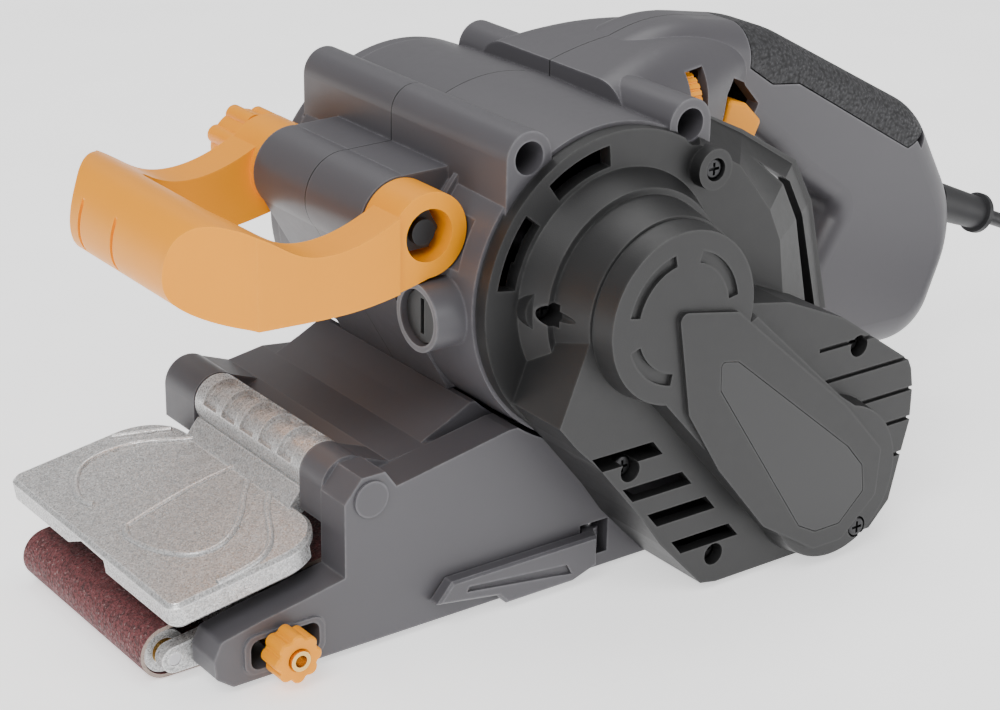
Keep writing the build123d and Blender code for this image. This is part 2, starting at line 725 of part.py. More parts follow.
case_screw_points = ((6, 99.2), (69.7, 130.2), (25.6, 49.7), (60.4, 12), (117, 68.7))
plate_outline = outline(
    (55.7, 3.2), (62, 2), (128, 2), (136, 10), (139.8, 25.8), (142.7, 36.8), (142.7, 48.5), (141.4, 55.5),
    (139.7, 59), (109.5, 79.8), (85.6, 90.3), (66, 94), (40, 112), (16, 112), (-1.2, 69.8), (5.3, 61.8),
    (14.1, 53), (30.2, 33.2), (38.6, 21.4),
)
with BuildPart() as drive_side_case:
    # plate box from the wall to the belt plane
    with BuildSketch(side(wall_y - 0.1)):
        add(plate_outline)
    extrude(amount=wall_y - 0.1 - plate_face_y)
    # end ring of the barrel
    with BuildSketch(side(barrel_near_y - 0.1)):
        with Locations((motor_x, motor_z)):
            Circle(48.5)
    extrude(amount=barrel_near_y - 0.1 - ring_face_y)
    # stepped dome
    with Locations(Location((motor_x, ring_face_y, motor_z), (90, 0, 0))):
        Cone(37, 33, 9, align=(Align.CENTER, Align.CENTER, Align.MIN))
    with Locations(Location((motor_x, ring_face_y - 9, motor_z), (90, 0, 0))):
        Cone(31, 28.5, 14, align=(Align.CENTER, Align.CENTER, Align.MIN))
    # hood over the rear of the barrel, widening to a thin flange
    with BuildSketch(side(-47.0)):
        add(outline((50, 146), (80, 141), (98, 131.5), (120.5, 117.5), (128.5, 102.5), (138, 64), (60, 60)))
    with BuildSketch(side(ring_face_y)):
        add(outline((51, 144.6), (66.9, 137.3), (83.4, 128), (97, 111), (102, 100), (105, 79.4), (60, 62)))
    loft()
    with BuildSketch(side(-45.1)):
        add(outline((50, 146), (80, 141.5), (98, 132.8), (121.6, 118.6), (130, 103), (139.6, 64), (60, 60)))
    extrude(amount=2)
    # boss blocks on the ring
    for x, z in case_screw_points[:2]:
        with BuildSketch(side(-58.1)):
            with Locations((x, z)):
                Circle(6.5)
        extrude(amount=9.5)
    # ---- openings ----
    # free path for a rod pushed into the rear clamp tube
    with BuildSketch(side(-55)):
        with Locations((clamp_tube_x[1], clamp_tube_z)):
            Circle(5.5)
    extrude(amount=45, mode=Mode.SUBTRACT)
    with BuildSketch(side(-40)):
        with Locations((motor_x, motor_z)):
            Circle(barrel_radius + 0.2)
    extrude(amount=18.1, mode=Mode.SUBTRACT)
    with BuildSketch(side(deck_far_y)):
        add(tubes(0.3))
    extrude(amount=deck_far_y + 59.3, mode=Mode.SUBTRACT)
    # hollow behind the flange, open towards the housing
    with BuildSketch(side(-40)):
        add(outline((94, 127), (116, 113.5), (123, 100), (132, 66), (92, 66)))
    extrude(amount=14, mode=Mode.SUBTRACT)
    # rear brush room
    with BuildSketch(Plane.YZ.offset(60)):
        with Locations((brush_y, motor_z + brush_drop)):
            Circle(9.2)
    extrude(amount=42, mode=Mode.SUBTRACT)
    # arc vents in the ring
    for start in (96, 140, 216, 252):
        with BuildSketch(side(-40)):
            with Locations((motor_x, motor_z)):
                add(sector(38.5, 45, start, 30))
        extrude(amount=30, mode=Mode.SUBTRACT)
    # weight saving room inside the plate box
    with BuildSketch(side(wall_y)):
        add(outline((28, 42), (42, 25), (58, 7), (88, 7), (88, 40), (60, 46), (36, 46)))
        add(outline((122, 7), (132, 12), (138, 38), (137, 52), (122, 60)))
    extrude(amount=25, mode=Mode.SUBTRACT)
    # slanted cooling slots through the face
    for low, left in ((57, 8), (44, 20), (33, 30), (21, 40)):
        with BuildSketch(side(-70)):
            add(outline((left + 3, low), (left + 26, low), (left + 30, low - 5), (left + 7, low - 5)))
        extrude(amount=20, mode=Mode.SUBTRACT)
    # grooves on the rear shoulder
    for low in (70.8, 59.5, 48.3, 37.9, 26):
        with BuildSketch(side(-84.5)):
            add(block((100, 144), (low - 0.7, low + 0.7)))
        extrude(amount=4, mode=Mode.SUBTRACT)
    # recess for both pulleys and the belt between them
    with BuildSketch(side(-79.8)):
        add(wrapped((motor_x, motor_z), 8, (drive_x, drive_z), 12.8))
    extrude(amount=10, mode=Mode.SUBTRACT)
    # shaft passages and bearing seats
    with BuildSketch(side(-56)):
        with Locations((motor_x, motor_z)):
            Circle(11.02)
    extrude(amount=8, mode=Mode.SUBTRACT)
    with BuildSketch(side(-56)):
        with Locations((motor_x, motor_z)):
            Circle(5)
        with Locations((drive_x, drive_z)):
            Circle(7)
    extrude(amount=30, mode=Mode.SUBTRACT)
    with BuildSketch(side(-56)):
        with Locations((drive_x, drive_z)):
            Circle(roller_bearing_radius + 0.02)
    extrude(amount=15.1, mode=Mode.SUBTRACT)
    # screw holes
    for index, (x, z) in enumerate(case_screw_points):
        with BuildSketch(side(-40)):
            with Locations((x, z)):
                Circle(1.6)
        extrude(amount=50, mode=Mode.SUBTRACT)
        with BuildSketch(side(-64.5 if index < 2 else -80)):
            with Locations((x, z)):
                Circle(3.6)
        extrude(amount=10, mode=Mode.SUBTRACT)
save(drive_side_case, "drive_side_case")

cover_low = (103.0, 28.5)
cover_screw_points = ((114.0, 9.6),)
with BuildPart() as drive_belt_cover:
    with BuildSketch(side(plate_face_y - 0.1)) as cover_face:
        with Locations(cover_low):
            Circle(26.5)
        add(outline((28.9, 73.6), (80, 15), (86, 12), (121, 46), (103.5, 58.6), (65.8, 94)))
        with Locations((motor_x, motor_z)):
            Circle(27.7)
    extrude(amount=plate_face_y - 0.1 - cover_face_y, taper=8)
    # crescents round the motor axis
    for start, size in ((102, 66), (9, 64), (199, 59)):
        with BuildSketch(side(cover_face_y + 1.2)):
            with Locations((motor_x, motor_z)):
                add(sector(17, 20.5, start, size))
        extrude(amount=3, mode=Mode.SUBTRACT)
    # raised panel with a seat for the blank inlay
    with BuildSketch(side(cover_face_y)) as panel_face:
        add(outline((34, 101), (57, 96.5), (104, 55), (121, 36), (120, 20), (106, 8), (94, 8), (72, 22),
                    (52.3, 46.3), (39.4, 67.5)))
        fillet(panel_face.vertices(), radius=2.5)
    extrude(amount=1.4)
    with BuildSketch(side(cover_face_y - 0.7)) as inlay_seat:
        add(outline((51, 81.9), (57.8, 80.5), (106, 40.6), (113, 32.3), (114.3, 23), (104.6, 14), (94.3, 14),
                    (87, 18), (51.3, 72.5)))
        fillet(inlay_seat.vertices(), radius=1.5)
    extrude(amount=2, mode=Mode.SUBTRACT)
    # room for pulleys and belt
    with BuildSketch(side(plate_face_y)):
        add(wrapped((motor_x, motor_z), 8, (drive_x, drive_z), 12.8))
    extrude(amount=6.2, mode=Mode.SUBTRACT)
    for x, z in cover_screw_points:
        with BuildSketch(side(plate_face_y)):
            with Locations((x, z)):
                Circle(1.6)
        extrude(amount=12, mode=Mode.SUBTRACT)
        with BuildSketch(side(-92)):
            with Locations((x, z)):
                Circle(3.6)
        extrude(amount=6, mode=Mode.SUBTRACT)
save(drive_belt_cover, "drive_belt_cover")

with BuildPart() as cover_label_inlay:
    with BuildSketch(side(cover_face_y - 0.75)) as inlay_face:
        add(outline((51.2, 81.7), (57.7, 80.3), (105.8, 40.5), (112.8, 32.2), (114.1, 23.1), (104.5, 14.2),
                    (94.4, 14.2), (87.1, 18.2), (51.5, 72.6)))
        fillet(inlay_face.vertices(), radius=1.4)
        for x, z in cover_screw_points:
            with Locations((x, z)):
                Circle(5, mode=Mode.SUBTRACT)
    extrude(amount=0.6)
save(cover_label_inlay, "cover_label_inlay")

near_screw = screw(5.5)
near_turn = (90, 0, 0)
far_turn = (-90, 0, 0)
with BuildPart() as case_screws:
    for index, (x, z) in enumerate(case_screw_points):
        add(near_screw.moved(Location((x, -64.5 if index < 2 else -80, z), near_turn)))
save(case_screws, "case_screws")

with BuildPart() as drive_cover_screws:
    for x, z in cover_screw_points:
        add(near_screw.moved(Location((x, -92, z), near_turn)))
save(drive_cover_screws, "drive_cover_screws")

# ---- motor ----
stator_y = (16.0, -18.0)
coil_y = (26.0, -30.0)
with BuildPart() as stator_core:
    with BuildSketch(side(stator_y[0])):
        with Locations((motor_x, motor_z)):
            Circle(barrel_bore - 0.1)
            Circle(41.3, mode=Mode.SUBTRACT)
            add(sector(25.2, 41.6, 53, 74))
            add(sector(25.2, 41.6, 233, 74))
    extrude(amount=stator_y[0] - stator_y[1])
save(stator_core, "stator_core")

with BuildPart() as field_coils:
    for start in (15, 195):
        with BuildSketch(side(coil_y[0])):
            with Locations((motor_x, motor_z)):
                add(sector(27, 41, start, 150))
        extrude(amount=coil_y[0] - coil_y[1])
        with BuildSketch(side(stator_y[0] + 0.6)):
            with Locations((motor_x, motor_z)):
                add(sector(24, 43, start + 36, 78))
        extrude(amount=stator_y[0] - stator_y[1] + 1.2, mode=Mode.SUBTRACT)
save(field_coils, "field_coils")

with BuildPart() as armature_core:
    with BuildSketch(side(20)):
        with Locations((motor_x, motor_z)):
            Circle(24.2)
            Circle(5.01, mode=Mode.SUBTRACT)
            with PolarLocations(22.6, 12):
                Rectangle(4.4, 1.6, mode=Mode.SUBTRACT)
    extrude(amount=40)
save(armature_core, "armature_core")

with BuildPart() as armature_shaft:
    add(cylinder_y(motor_x, motor_z, 5, 40, -55.9))
    add(cylinder_y(motor_x, motor_z, 4, 49.8, -64))
    add(cylinder_y(motor_x, motor_z, 2, -63, pulley_y[1] - 0.6))
save(armature_shaft, "armature_shaft")

with BuildPart() as commutator:
    with BuildSketch(side(-38)):
        with Locations((motor_x, motor_z)):
            Circle(14)
            Circle(5.01, mode=Mode.SUBTRACT)
            with PolarLocations(14, 24):
                Rectangle(1.2, 0.5, mode=Mode.SUBTRACT)
    extrude(amount=14)
save(commutator, "commutator")

fan_blades = 11
with BuildPart() as cooling_fan:
    with BuildSketch(side(32)):
        with Locations((motor_x, motor_z)):
            Circle(40)
            Circle(5.01, mode=Mode.SUBTRACT)
    extrude(amount=2)
    with BuildSketch(side(40)):
        with Locations((motor_x, motor_z)):
            Circle(9)
            Circle(5.01, mode=Mode.SUBTRACT)
            with PolarLocations(24.5, fan_blades):
                Rectangle(29, 1.6)
    extrude(amount=9)
save(cooling_fan, "cooling_fan")

with BuildPart() as motor_bearings:
    add(cylinder_y(motor_x, motor_z, 11, -56.4, -63.4, 4 + running_gap))
    add(cylinder_y(motor_x, motor_z, 8, 50.4, 44.4, 4 + running_gap))
save(motor_bearings, "motor_bearings")


def pulley(x, z, teeth, radius, bore):
    """Toothed pulley between the two faces of the belt plane."""
    with BuildPart() as piece:
        with BuildSketch(side(pulley_y[0])):
            with Locations((x, z)):
                Circle(radius)
                Circle(bore, mode=Mode.SUBTRACT)
                with PolarLocations(radius, teeth, start_angle=4):
                    Rectangle(0.8, 0.8, mode=Mode.SUBTRACT)
        extrude(amount=pulley_y[0] - pulley_y[1])
    return piece.part


with BuildPart() as drive_pulley:
    add(pulley(motor_x, motor_z, motor_teeth, motor_pulley_radius, 2.01))
save(drive_pulley, "drive_pulley")

with BuildPart() as driven_pulley:
    add(pulley(drive_x, drive_z, drive_teeth, drive_pulley_radius, drive_shaft_radius + 0.01))
save(driven_pulley, "driven_pulley")

with BuildPart() as timing_belt:
    with BuildSketch(side(pulley_y[0] - 1)):
        for grow, how in ((1.5, Mode.ADD), (0.3, Mode.SUBTRACT)):
            small = motor_pulley_radius + grow
            large = drive_pulley_radius + grow
            add(wrapped((motor_x, motor_z), small, (drive_x, drive_z), large), mode=how)
    extrude(amount=pulley_y[0] - pulley_y[1] - 2)
save(timing_belt, "timing_belt")

# ---- brushes, one on each side of the commutator ----
with BuildPart() as brush_holders:
    for way in (-1, 1):
        with Locations((motor_x + way * 32.5, brush_y, motor_z + way * brush_drop)):
            Box(31, 8, 10)
            Box(31, 5.2, 7.2, mode=Mode.SUBTRACT)
save(brush_holders, "brush_holders")

with BuildPart() as carbon_brushes:
    for way in (-1, 1):
        with Locations((motor_x + way * 22.5, brush_y, motor_z + way * brush_drop)):
            Box(16, 5, 7)
save(carbon_brushes, "carbon_brushes")

with BuildPart() as brush_springs:
    for way in (-1, 1):
        with BuildLine() as brush_spring_line:
            Helix(
                pitch=2.4,
                height=14,
                radius=1.9,
                center=(motor_x + way * 31.5, brush_y, motor_z + way * brush_drop),
                direction=(way, 0, 0),
            )
        with BuildSketch(Plane(brush_spring_line.line @ 0, z_dir=brush_spring_line.line % 0)):
            Circle(0.3)
        sweep()
save(brush_springs, "brush_springs")

with BuildPart() as brush_caps:
    for way in (-1, 1):
        face = motor_x + way * (motor_x - pod_face_x - 2)
        with BuildSketch(Plane.YZ.offset(face if way < 0 else face - 7.5)):
            with Locations((brush_y, motor_z + way * brush_drop)):
                Circle(8)
        extrude(amount=7.5)
        with Locations((face, brush_y, motor_z + way * brush_drop)):
            Box(3.4, 1.8, 11, mode=Mode.SUBTRACT)
save(brush_caps, "brush_caps")

# ---- front handle, tilting on its bolt ----
hub_y = (46.0, boss_half_width + 0.4)
arm_inner = 33.0
arm_outer = 47.0
bar_front_x = -95.0
with BuildPart() as front_handle:
    with BuildSketch(side(arm_outer)) as handle_side:
        with BuildLine():
            Spline(
                (-19.3, 133.5), (-30, 128), (-45, 122.5), (-62, 123), (-76, 131), (-88, 133),
                (-95, 124), (-94.5, 111), (-86, 105.5), (-70, 103.5), (-45, 103), (-30, 105), (-19.3, 107.5),
            )
            Line((-19.3, 107.5), (-19.3, 133.5))
        make_face()
    extrude(amount=2 * arm_outer)
    with BuildSketch(Plane.XY.offset(90)) as handle_plan:
        add(block((-110, -19.3), (-arm_outer, arm_outer)))
    extrude(amount=60, mode=Mode.INTERSECT)
    # finger room between the arms
    with BuildSketch(Plane.XY.offset(90)):
        with BuildLine():
            FilletPolyline(
                (-10, -arm_inner), (-66, -arm_inner), (-76, -21), (-76, 21), (-66, arm_inner), (-10, arm_inner),
                radius=11,
            )
            Line((-10, arm_inner), (-10, -arm_inner))
        make_face()
    extrude(amount=60, mode=Mode.SUBTRACT)
    # rounded front corners
    with BuildSketch(Plane.XY.offset(90)):
        with BuildLine():
            FilletPolyline((-76, -60), (-76, -46.9), (-95.4, -27), (-112, -27), radius=12)
            Polyline((-112, -27), (-112, -60), (-76, -60))
        make_face()
        mirror(about=Plane.XZ)
    extrude(amount=60, mode=Mode.SUBTRACT)
    for high, low in ((-hub_y[1], -hub_y[0]), (hub_y[0], hub_y[1])):
        with BuildSketch(side(high)):
            with Locations((handle_x, handle_z)):
                Circle(handle_hub_radius)
        extrude(amount=high - low)
    # the arms join the hubs inside their outer faces
    with BuildSketch(Plane.XY.offset(90)):
        add(block((-30, 0), (hub_y[0] + 0.01, arm_outer + 1)))
        add(block((-30, 0), (-arm_outer - 1, -hub_y[0] - 0.01)))
    extrude(amount=60, mode=Mode.SUBTRACT)
    with BuildSketch(side(arm_outer)):
        with Locations((handle_x, handle_z)):
            Circle(4.3)
    extrude(amount=2 * arm_outer, mode=Mode.SUBTRACT)
    with BuildSketch(side(-35)):
        with Locations((handle_x, handle_z)):
            Circle(8)
    extrude(amount=20, mode=Mode.SUBTRACT)
    # two grooves down the front face
    for y in (22, 2):
        with Locations((bar_front_x - 0.2, y, 118)):
            Box(2.4, 1.6, 40, mode=Mode.SUBTRACT)
save(front_handle, "front_handle")

with BuildPart() as handle_bolt:
    add(cylinder_y(handle_x, handle_z, 4, 56, -43))
save(handle_bolt, "handle_bolt")

with BuildPart() as handle_nut:
    with BuildSketch(side(-35.1)):
        with Locations((handle_x, handle_z)):
            RegularPolygon(6.6, 6)
            Circle(4.01, mode=Mode.SUBTRACT)
    extrude(amount=5.5)
save(handle_nut, "handle_nut")

with BuildPart() as handle_clamp_knob:
    with BuildSketch(side(61.5)):
        with Locations((handle_x, handle_z)):
            Circle(11)
            with PolarLocations(10, 7):
                Circle(3)
    extrude(amount=61.5 - arm_outer - 0.3)
    chamfer(handle_clamp_knob.faces().sort_by(Axis.Y)[-1].edges(), length=1)
    add(cylinder_y(handle_x, handle_z, 4 + running_gap, 57, hub_y[0] - 3), mode=Mode.SUBTRACT)
save(handle_clamp_knob, "handle_clamp_knob")

# ---- rubber grip, trigger and controls ----
with BuildPart() as rubber_grip:
    with BuildSketch(side(grip_half_width)):
        with BuildLine():
            FilletPolyline(*grip_points, close=True, radius=grip_radii)
        make_face()
    extrude(amount=2 * grip_half_width)
    fillet(rims(rubber_grip, 70, 240), radius=rim_radius)
    with BuildSketch(side(grip_half_width + 1)):
        add(outline((128.3, 158), (126.9, 141.3), (137.2, 134.2), (149.2, 132.6), (202.8, 100.9), (216.6, 106.2),
                    (203, 130), (160, 158)))
    extrude(amount=2 * grip_half_width + 2, mode=Mode.INTERSECT)
    with BuildSketch(side(grip_half_width - 2.7)):
        with BuildLine():
            Polyline((120, 110), (120, 146.8), (127, 146.8), (140, 142.5))
            Spline((140, 142.5), (178, 124.8), (210.1, 99.3), tangents=[(1, -0.36), (0.6, -1)])
            Polyline((210.1, 99.3), (206, 85), (120, 110))
        make_face()
    extrude(amount=2 * grip_half_width - 5.4, mode=Mode.SUBTRACT)
save(rubber_grip, "rubber_grip")

with BuildPart() as trigger:
    with BuildSketch(side(9.5)) as trigger_face:
        with BuildLine():
            Polyline((119.5, 129.5), (116.5, 120), (122, 112.5), (134, 111), (141.2, 113.5), (141.2, 120), (119.5, 129.5))
        make_face()
        fillet(trigger_face.vertices(), radius=1.8)
    extrude(amount=19)
    fillet(trigger.faces().filter_by(Axis.Y).edges(), radius=1.2)
    # lug that reaches the near side
    with BuildSketch(side(-7)) as lug_face:
        add(outline((107.6, 123.5), (112.2, 134.4), (119.5, 132.1), (126.4, 125.2), (123, 118.4), (110.5, 117.5)))
        fillet(lug_face.vertices(), radius=2)
    extrude(amount=18.5)
    fillet(trigger.faces().filter_by(Axis.Y).sort_by(Axis.Y)[0].edges(), radius=1.5)
save(trigger, "trigger")

with BuildPart() as lock_button:
    add(cylinder_y(132, 127, 5.0, grip_half_width + 2.5, 13.5))
save(lock_button, "lock_button")

with BuildPart() as speed_dial:
    with BuildSketch(Plane.YZ.offset(dial_x - 2.5)):
        with Locations(dial_axis):
            Circle(9)
            with PolarLocations(9, 24):
                Circle(0.5, mode=Mode.SUBTRACT)
            Circle(1.5, mode=Mode.SUBTRACT)
    extrude(amount=5)
save(speed_dial, "speed_dial")

with BuildPart() as speed_module:
    with BuildSketch(Plane.YZ.offset(dial_x - 3.2)):
        with Locations(dial_axis):
            Circle(1.4)
    extrude(amount=7.4)
    with BuildSketch(Plane.YZ.offset(dial_x + 3)):
        add(block((-22, 0), (136, 142)))
    extrude(amount=2)
    with Locations((dial_x + 3, 0, 142)):
        Box(9, 16, 8)
save(speed_module, "speed_module")

with BuildPart() as switch_module:
    with BuildSketch(side(11)):
        add(outline((150, 112), (170, 101), (182, 116), (152, 131), (145, 124)))
    extrude(amount=22)
save(switch_module, "switch_module")

with BuildPart() as dust_outlet:
    add(cylinder_y(98, 74, 9.9, 62, 36, 7.5))
    add(cylinder_y(98, 74, 13, 46.1, 43.1, 7.5))
save(dust_outlet, "dust_outlet")

with BuildPart() as housing_screws:
    far_screw = screw(10)
    for x, z in housing_screw_points:
        add(far_screw.moved(Location((x, 15, z), far_turn)))
save(housing_screws, "housing_screws")

# ---- strain relief, cord, coil and plug ----
relief_root = Vector(235.5, 0, 70.6)
relief_end = Vector(262, 0, 60)
relief_plane = Plane(origin=relief_root, z_dir=relief_end - relief_root)
relief_length = (relief_end - relief_root).length
with BuildPart() as cord_strain_relief:
    with BuildSketch(relief_plane.offset(-14)):
        Circle(5)
    extrude(amount=16)
    with BuildSketch(relief_plane.offset(1)):
        Circle(7)
    with BuildSketch(relief_plane.offset(relief_length)):
        Circle(6)
    loft()
    with BuildSketch(relief_plane.offset(relief_length - 2)):
        Circle(7.6)
    extrude(amount=2)
save(cord_strain_relief, "cord_strain_relief")

coil_x = 318.0
coil_y_centre = -62.0
coil_radii = (25.4, 31.0, 36.6)
coil_layers = 3
cord_route = [
    (262, 0, 60), (291, 0, 48.4), (317, 2, 31), (338, 0, 15), (350.5, -10, 5.5), (354.6, -27, 3.0), (354.6, -46, 3.0),
]


def turn_radii(points):
    """Largest tangent arc at each corner: 0.45 of the shorter run over the tangent of half the turn."""
    corners = []
    for before, here, after in zip(points, points[1:], points[2:]):
        first = Vector(*here) - Vector(*before)
        second = Vector(*after) - Vector(*here)
        half_turn = radians(first.get_angle(second)) / 2
        corners.append(0.45 * min(first.length, second.length) / tan(half_turn))
    return corners


route_radii = turn_radii(cord_route)
print("cord radii", [round(radius, 1) for radius in route_radii])
with BuildPart() as cord:
    with BuildLine() as cord_line:
        FilletPolyline(*cord_route, radius=route_radii)
    with BuildSketch(Plane(cord_line.line @ 0, z_dir=cord_line.line % 0)):
        Circle(cord_diameter / 2)
    sweep()
cord_run = sum(edge.length for edge in cord_line.line.edges())
tube_volume = pi * cord_diameter ** 2 / 4 * cord_run
coil_run = sum(2 * pi * radius for radius in coil_radii) * coil_layers
print("cord run", round(cord_run, 1), "with coil", round(cord_run + coil_run, 1))
print("cord volume over section times length", round(cord.part.volume / tube_volume, 4))
save(cord, "cord")

coil_height = coil_layers * cord_diameter
with BuildPart() as cord_coil:
    with BuildSketch(Plane.XY.offset(0.1)):
        with Locations((coil_x, coil_y_centre)):
            Circle(coil_radii[-1] + cord_diameter / 2)
            Circle(coil_radii[0] - cord_diameter / 2, mode=Mode.SUBTRACT)
    extrude(amount=coil_height)
save(cord_coil, "cord_coil")

plug_y = coil_y_centre - coil_radii[-1]
with BuildPart() as plug_body:
    with BuildSketch(Plane.YZ.offset(262)):
        with Locations((plug_y, 13.1)):
            RectangleRounded(36, 26, 8)
    with BuildSketch(Plane.YZ.offset(292)):
        with Locations((plug_y, 9.1)):
            RectangleRounded(16, 14, 6)
    loft()
    with BuildSketch(Plane.YZ.offset(291)):
        with Locations((plug_y, 5.1)):
            Circle(4.4)
    extrude(amount=12)
save(plug_body, "plug_body")

with BuildPart() as plug_pins:
    for y in (-9.5, 9.5):
        with BuildSketch(Plane.YZ.offset(262)):
            with Locations((plug_y + y, 13.1)):
                Circle(2.4)
        extrude(amount=-19)
save(plug_pins, "plug_pins")
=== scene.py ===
from math import cos, pi, radians, sin

import bpy
from mathutils import Matrix, Vector


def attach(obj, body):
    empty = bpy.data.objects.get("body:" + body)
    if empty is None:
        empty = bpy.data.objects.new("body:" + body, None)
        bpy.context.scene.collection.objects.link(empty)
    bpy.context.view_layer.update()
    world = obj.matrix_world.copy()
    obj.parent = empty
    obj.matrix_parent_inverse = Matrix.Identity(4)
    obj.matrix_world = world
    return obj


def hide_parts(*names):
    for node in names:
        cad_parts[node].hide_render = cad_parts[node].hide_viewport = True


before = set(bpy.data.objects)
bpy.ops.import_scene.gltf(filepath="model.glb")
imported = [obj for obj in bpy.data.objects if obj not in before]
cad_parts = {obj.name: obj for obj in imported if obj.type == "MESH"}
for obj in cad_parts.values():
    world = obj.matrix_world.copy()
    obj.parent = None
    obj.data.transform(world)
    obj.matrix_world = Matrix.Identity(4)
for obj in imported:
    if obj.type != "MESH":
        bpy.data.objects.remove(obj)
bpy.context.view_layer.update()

bl_info = {
    "name": "Belt Sander Finish",
    "version": (1, 0, 0),
    "blender": (4, 5, 0),
    "location": "View3D > Sidebar > Sander",
    "description": "Finishes, cord and stage for a handheld belt sander",
    "category": "Object",
}

MM = 0.001
TEXTURED = [("Color", "NodeSocketColor"), ("Roughness", "NodeSocketFloat"), ("Height", "NodeSocketFloat")]


# ---- properties ----
def colour(name, text, value):
    """Colour property in linear RGB."""
    return bpy.props.FloatVectorProperty(
        name=name, description=text, subtype="COLOR", size=3, min=0, max=1, default=value
    )


class SanderColours(bpy.types.PropertyGroup):
    housing: colour("Housing", "Moulded gray housing", (0.078, 0.075, 0.083))
    # Lighter colour on the housing's sharp edges: a painted highlight, and wear.
    housing_edge_wear_and_highlight: colour("Housing edge", "Rubbed edges of the housing", (0.22, 0.215, 0.23))
    case: colour("Case", "Black drive side mouldings", (0.0125, 0.0125, 0.013))
    # Lighter colour on the black mouldings' sharp edges: a painted highlight, and wear.
    case_edge_wear_and_highlight: colour("Case edge", "Rubbed edges of the black mouldings", (0.055, 0.055, 0.055))
    handle: colour("Handle", "Orange handle, knobs and buttons", (0.92, 0.33, 0.0))
    guard: colour("Guard", "Cast front guard", (0.58, 0.58, 0.58))
    grit: colour("Grit", "Maroon abrasive grain", (0.115, 0.030, 0.032))
    cloth: colour("Cloth", "Backing cloth of the belt", (0.38, 0.30, 0.26))
    rubber: colour("Rubber", "Black rubber", (0.020, 0.020, 0.022))
    brass: colour("Brass", "Turned brass", (0.72, 0.47, 0.16))
    floor: colour("Floor", "Studio floor", (0.90, 0.90, 0.90))


class SanderSizes(bpy.types.PropertyGroup):
    cord_diameter: bpy.props.FloatProperty(
        name="Cord diameter", description="Outer diameter of the mains lead", unit="LENGTH", default=5.6 * MM
    )
    ridge_radius: bpy.props.FloatProperty(
        name="Ridge radius",
        description="Half width of the guard's cast ridges",
        unit="LENGTH",
        default=1.1 * MM,
    )
    grain: bpy.props.FloatProperty(
        name="Grain", description="Plastic grain features per metre", default=2600.0
    )


# ---- shared shader groups ----
def new_group(name, inputs, outputs):
    """Empty shader group with named sockets; returns the tree, its input and output nodes."""
    tree = bpy.data.node_groups.new(name, "ShaderNodeTree")
    for label, kind, value in inputs:
        socket = tree.interface.new_socket(name=label, in_out="INPUT", socket_type=kind)
        socket.default_value = value
    for label, kind in outputs:
        tree.interface.new_socket(name=label, in_out="OUTPUT", socket_type=kind)
    return tree, tree.nodes.new("NodeGroupInput"), tree.nodes.new("NodeGroupOutput")


def noise(tree, scale, detail, rough=0.55):
    """Noise texture in object space."""
    place = tree.nodes.new("ShaderNodeTexCoord")
    node = tree.nodes.new("ShaderNodeTexNoise")
    node.inputs["Detail"].default_value = detail
    node.inputs["Roughness"].default_value = rough
    tree.links.new(place.outputs["Object"], node.inputs["Vector"])
    if isinstance(scale, float):
        node.inputs["Scale"].default_value = scale
    else:
        tree.links.new(scale, node.inputs["Scale"])
    return node


def ranged(tree, value, low, high, to_low, to_high):
    """Value mapped from one range to another."""
    node = tree.nodes.new("ShaderNodeMapRange")
    node.inputs["From Min"].default_value = low
    node.inputs["From Max"].default_value = high
    node.inputs["To Min"].default_value = to_low
    node.inputs["To Max"].default_value = to_high
    tree.links.new(value, node.inputs["Value"])
    return node.outputs["Result"]


def blended(tree, factor, first, second, how="MIX"):
    """Colour mix of two sockets."""
    node = tree.nodes.new("ShaderNodeMix")
    node.data_type = "RGBA"
    node.blend_type = how
    for value, socket in ((factor, node.inputs[0]), (first, node.inputs[6]), (second, node.inputs[7])):
        if isinstance(value, (float, tuple)):
            socket.default_value = value
        else:
            tree.links.new(value, socket)
    return node.outputs[2]


def math_node(tree, how, first, second):
    """Math node on sockets or numbers."""
    node = tree.nodes.new("ShaderNodeMath")
    node.operation = how
    for value, socket in ((first, node.inputs[0]), (second, node.inputs[1])):
        if isinstance(value, float):
            socket.default_value = value
        else:
            tree.links.new(value, socket)
    return node.outputs[0]


# Widths of the edge band that is lightened as a painted highlight and as wear.
EDGE_WEAR_HIGHLIGHT_WIDTH = 1.1 * MM
CAST_EDGE_WEAR_HIGHLIGHT_WIDTH = 0.8 * MM
PARTING_HALF_WIDTH = 0.35 * MM
PARTING_COLOUR = (0.012, 0.012, 0.013, 1.0)
# Near white on the guard's sharp edges: bare metal, and a painted highlight.
BARE_METAL_AND_HIGHLIGHT = (0.9, 0.9, 0.9, 1.0)
PALE_SPECK = (0.30, 0.20, 0.19, 1.0)


def edge_wear_highlight_mask(tree, reach):
    """Mask of the sharp edges, from how far a rounded normal leans off the true one; the edges it picks out
    get a painted highlight and wear.
    """
    shape = tree.nodes.new("ShaderNodeNewGeometry")
    rounded = tree.nodes.new("ShaderNodeBevel")
    rounded.samples = 3
    rounded.inputs["Radius"].default_value = reach
    lean = tree.nodes.new("ShaderNodeVectorMath")
    lean.operation = "DOT_PRODUCT"
    tree.links.new(rounded.outputs["Normal"], lean.inputs[0])
    tree.links.new(shape.outputs["Normal"], lean.inputs[1])
    return ranged(tree, lean.outputs["Value"], 0.997, 0.93, 0.0, 1.0)


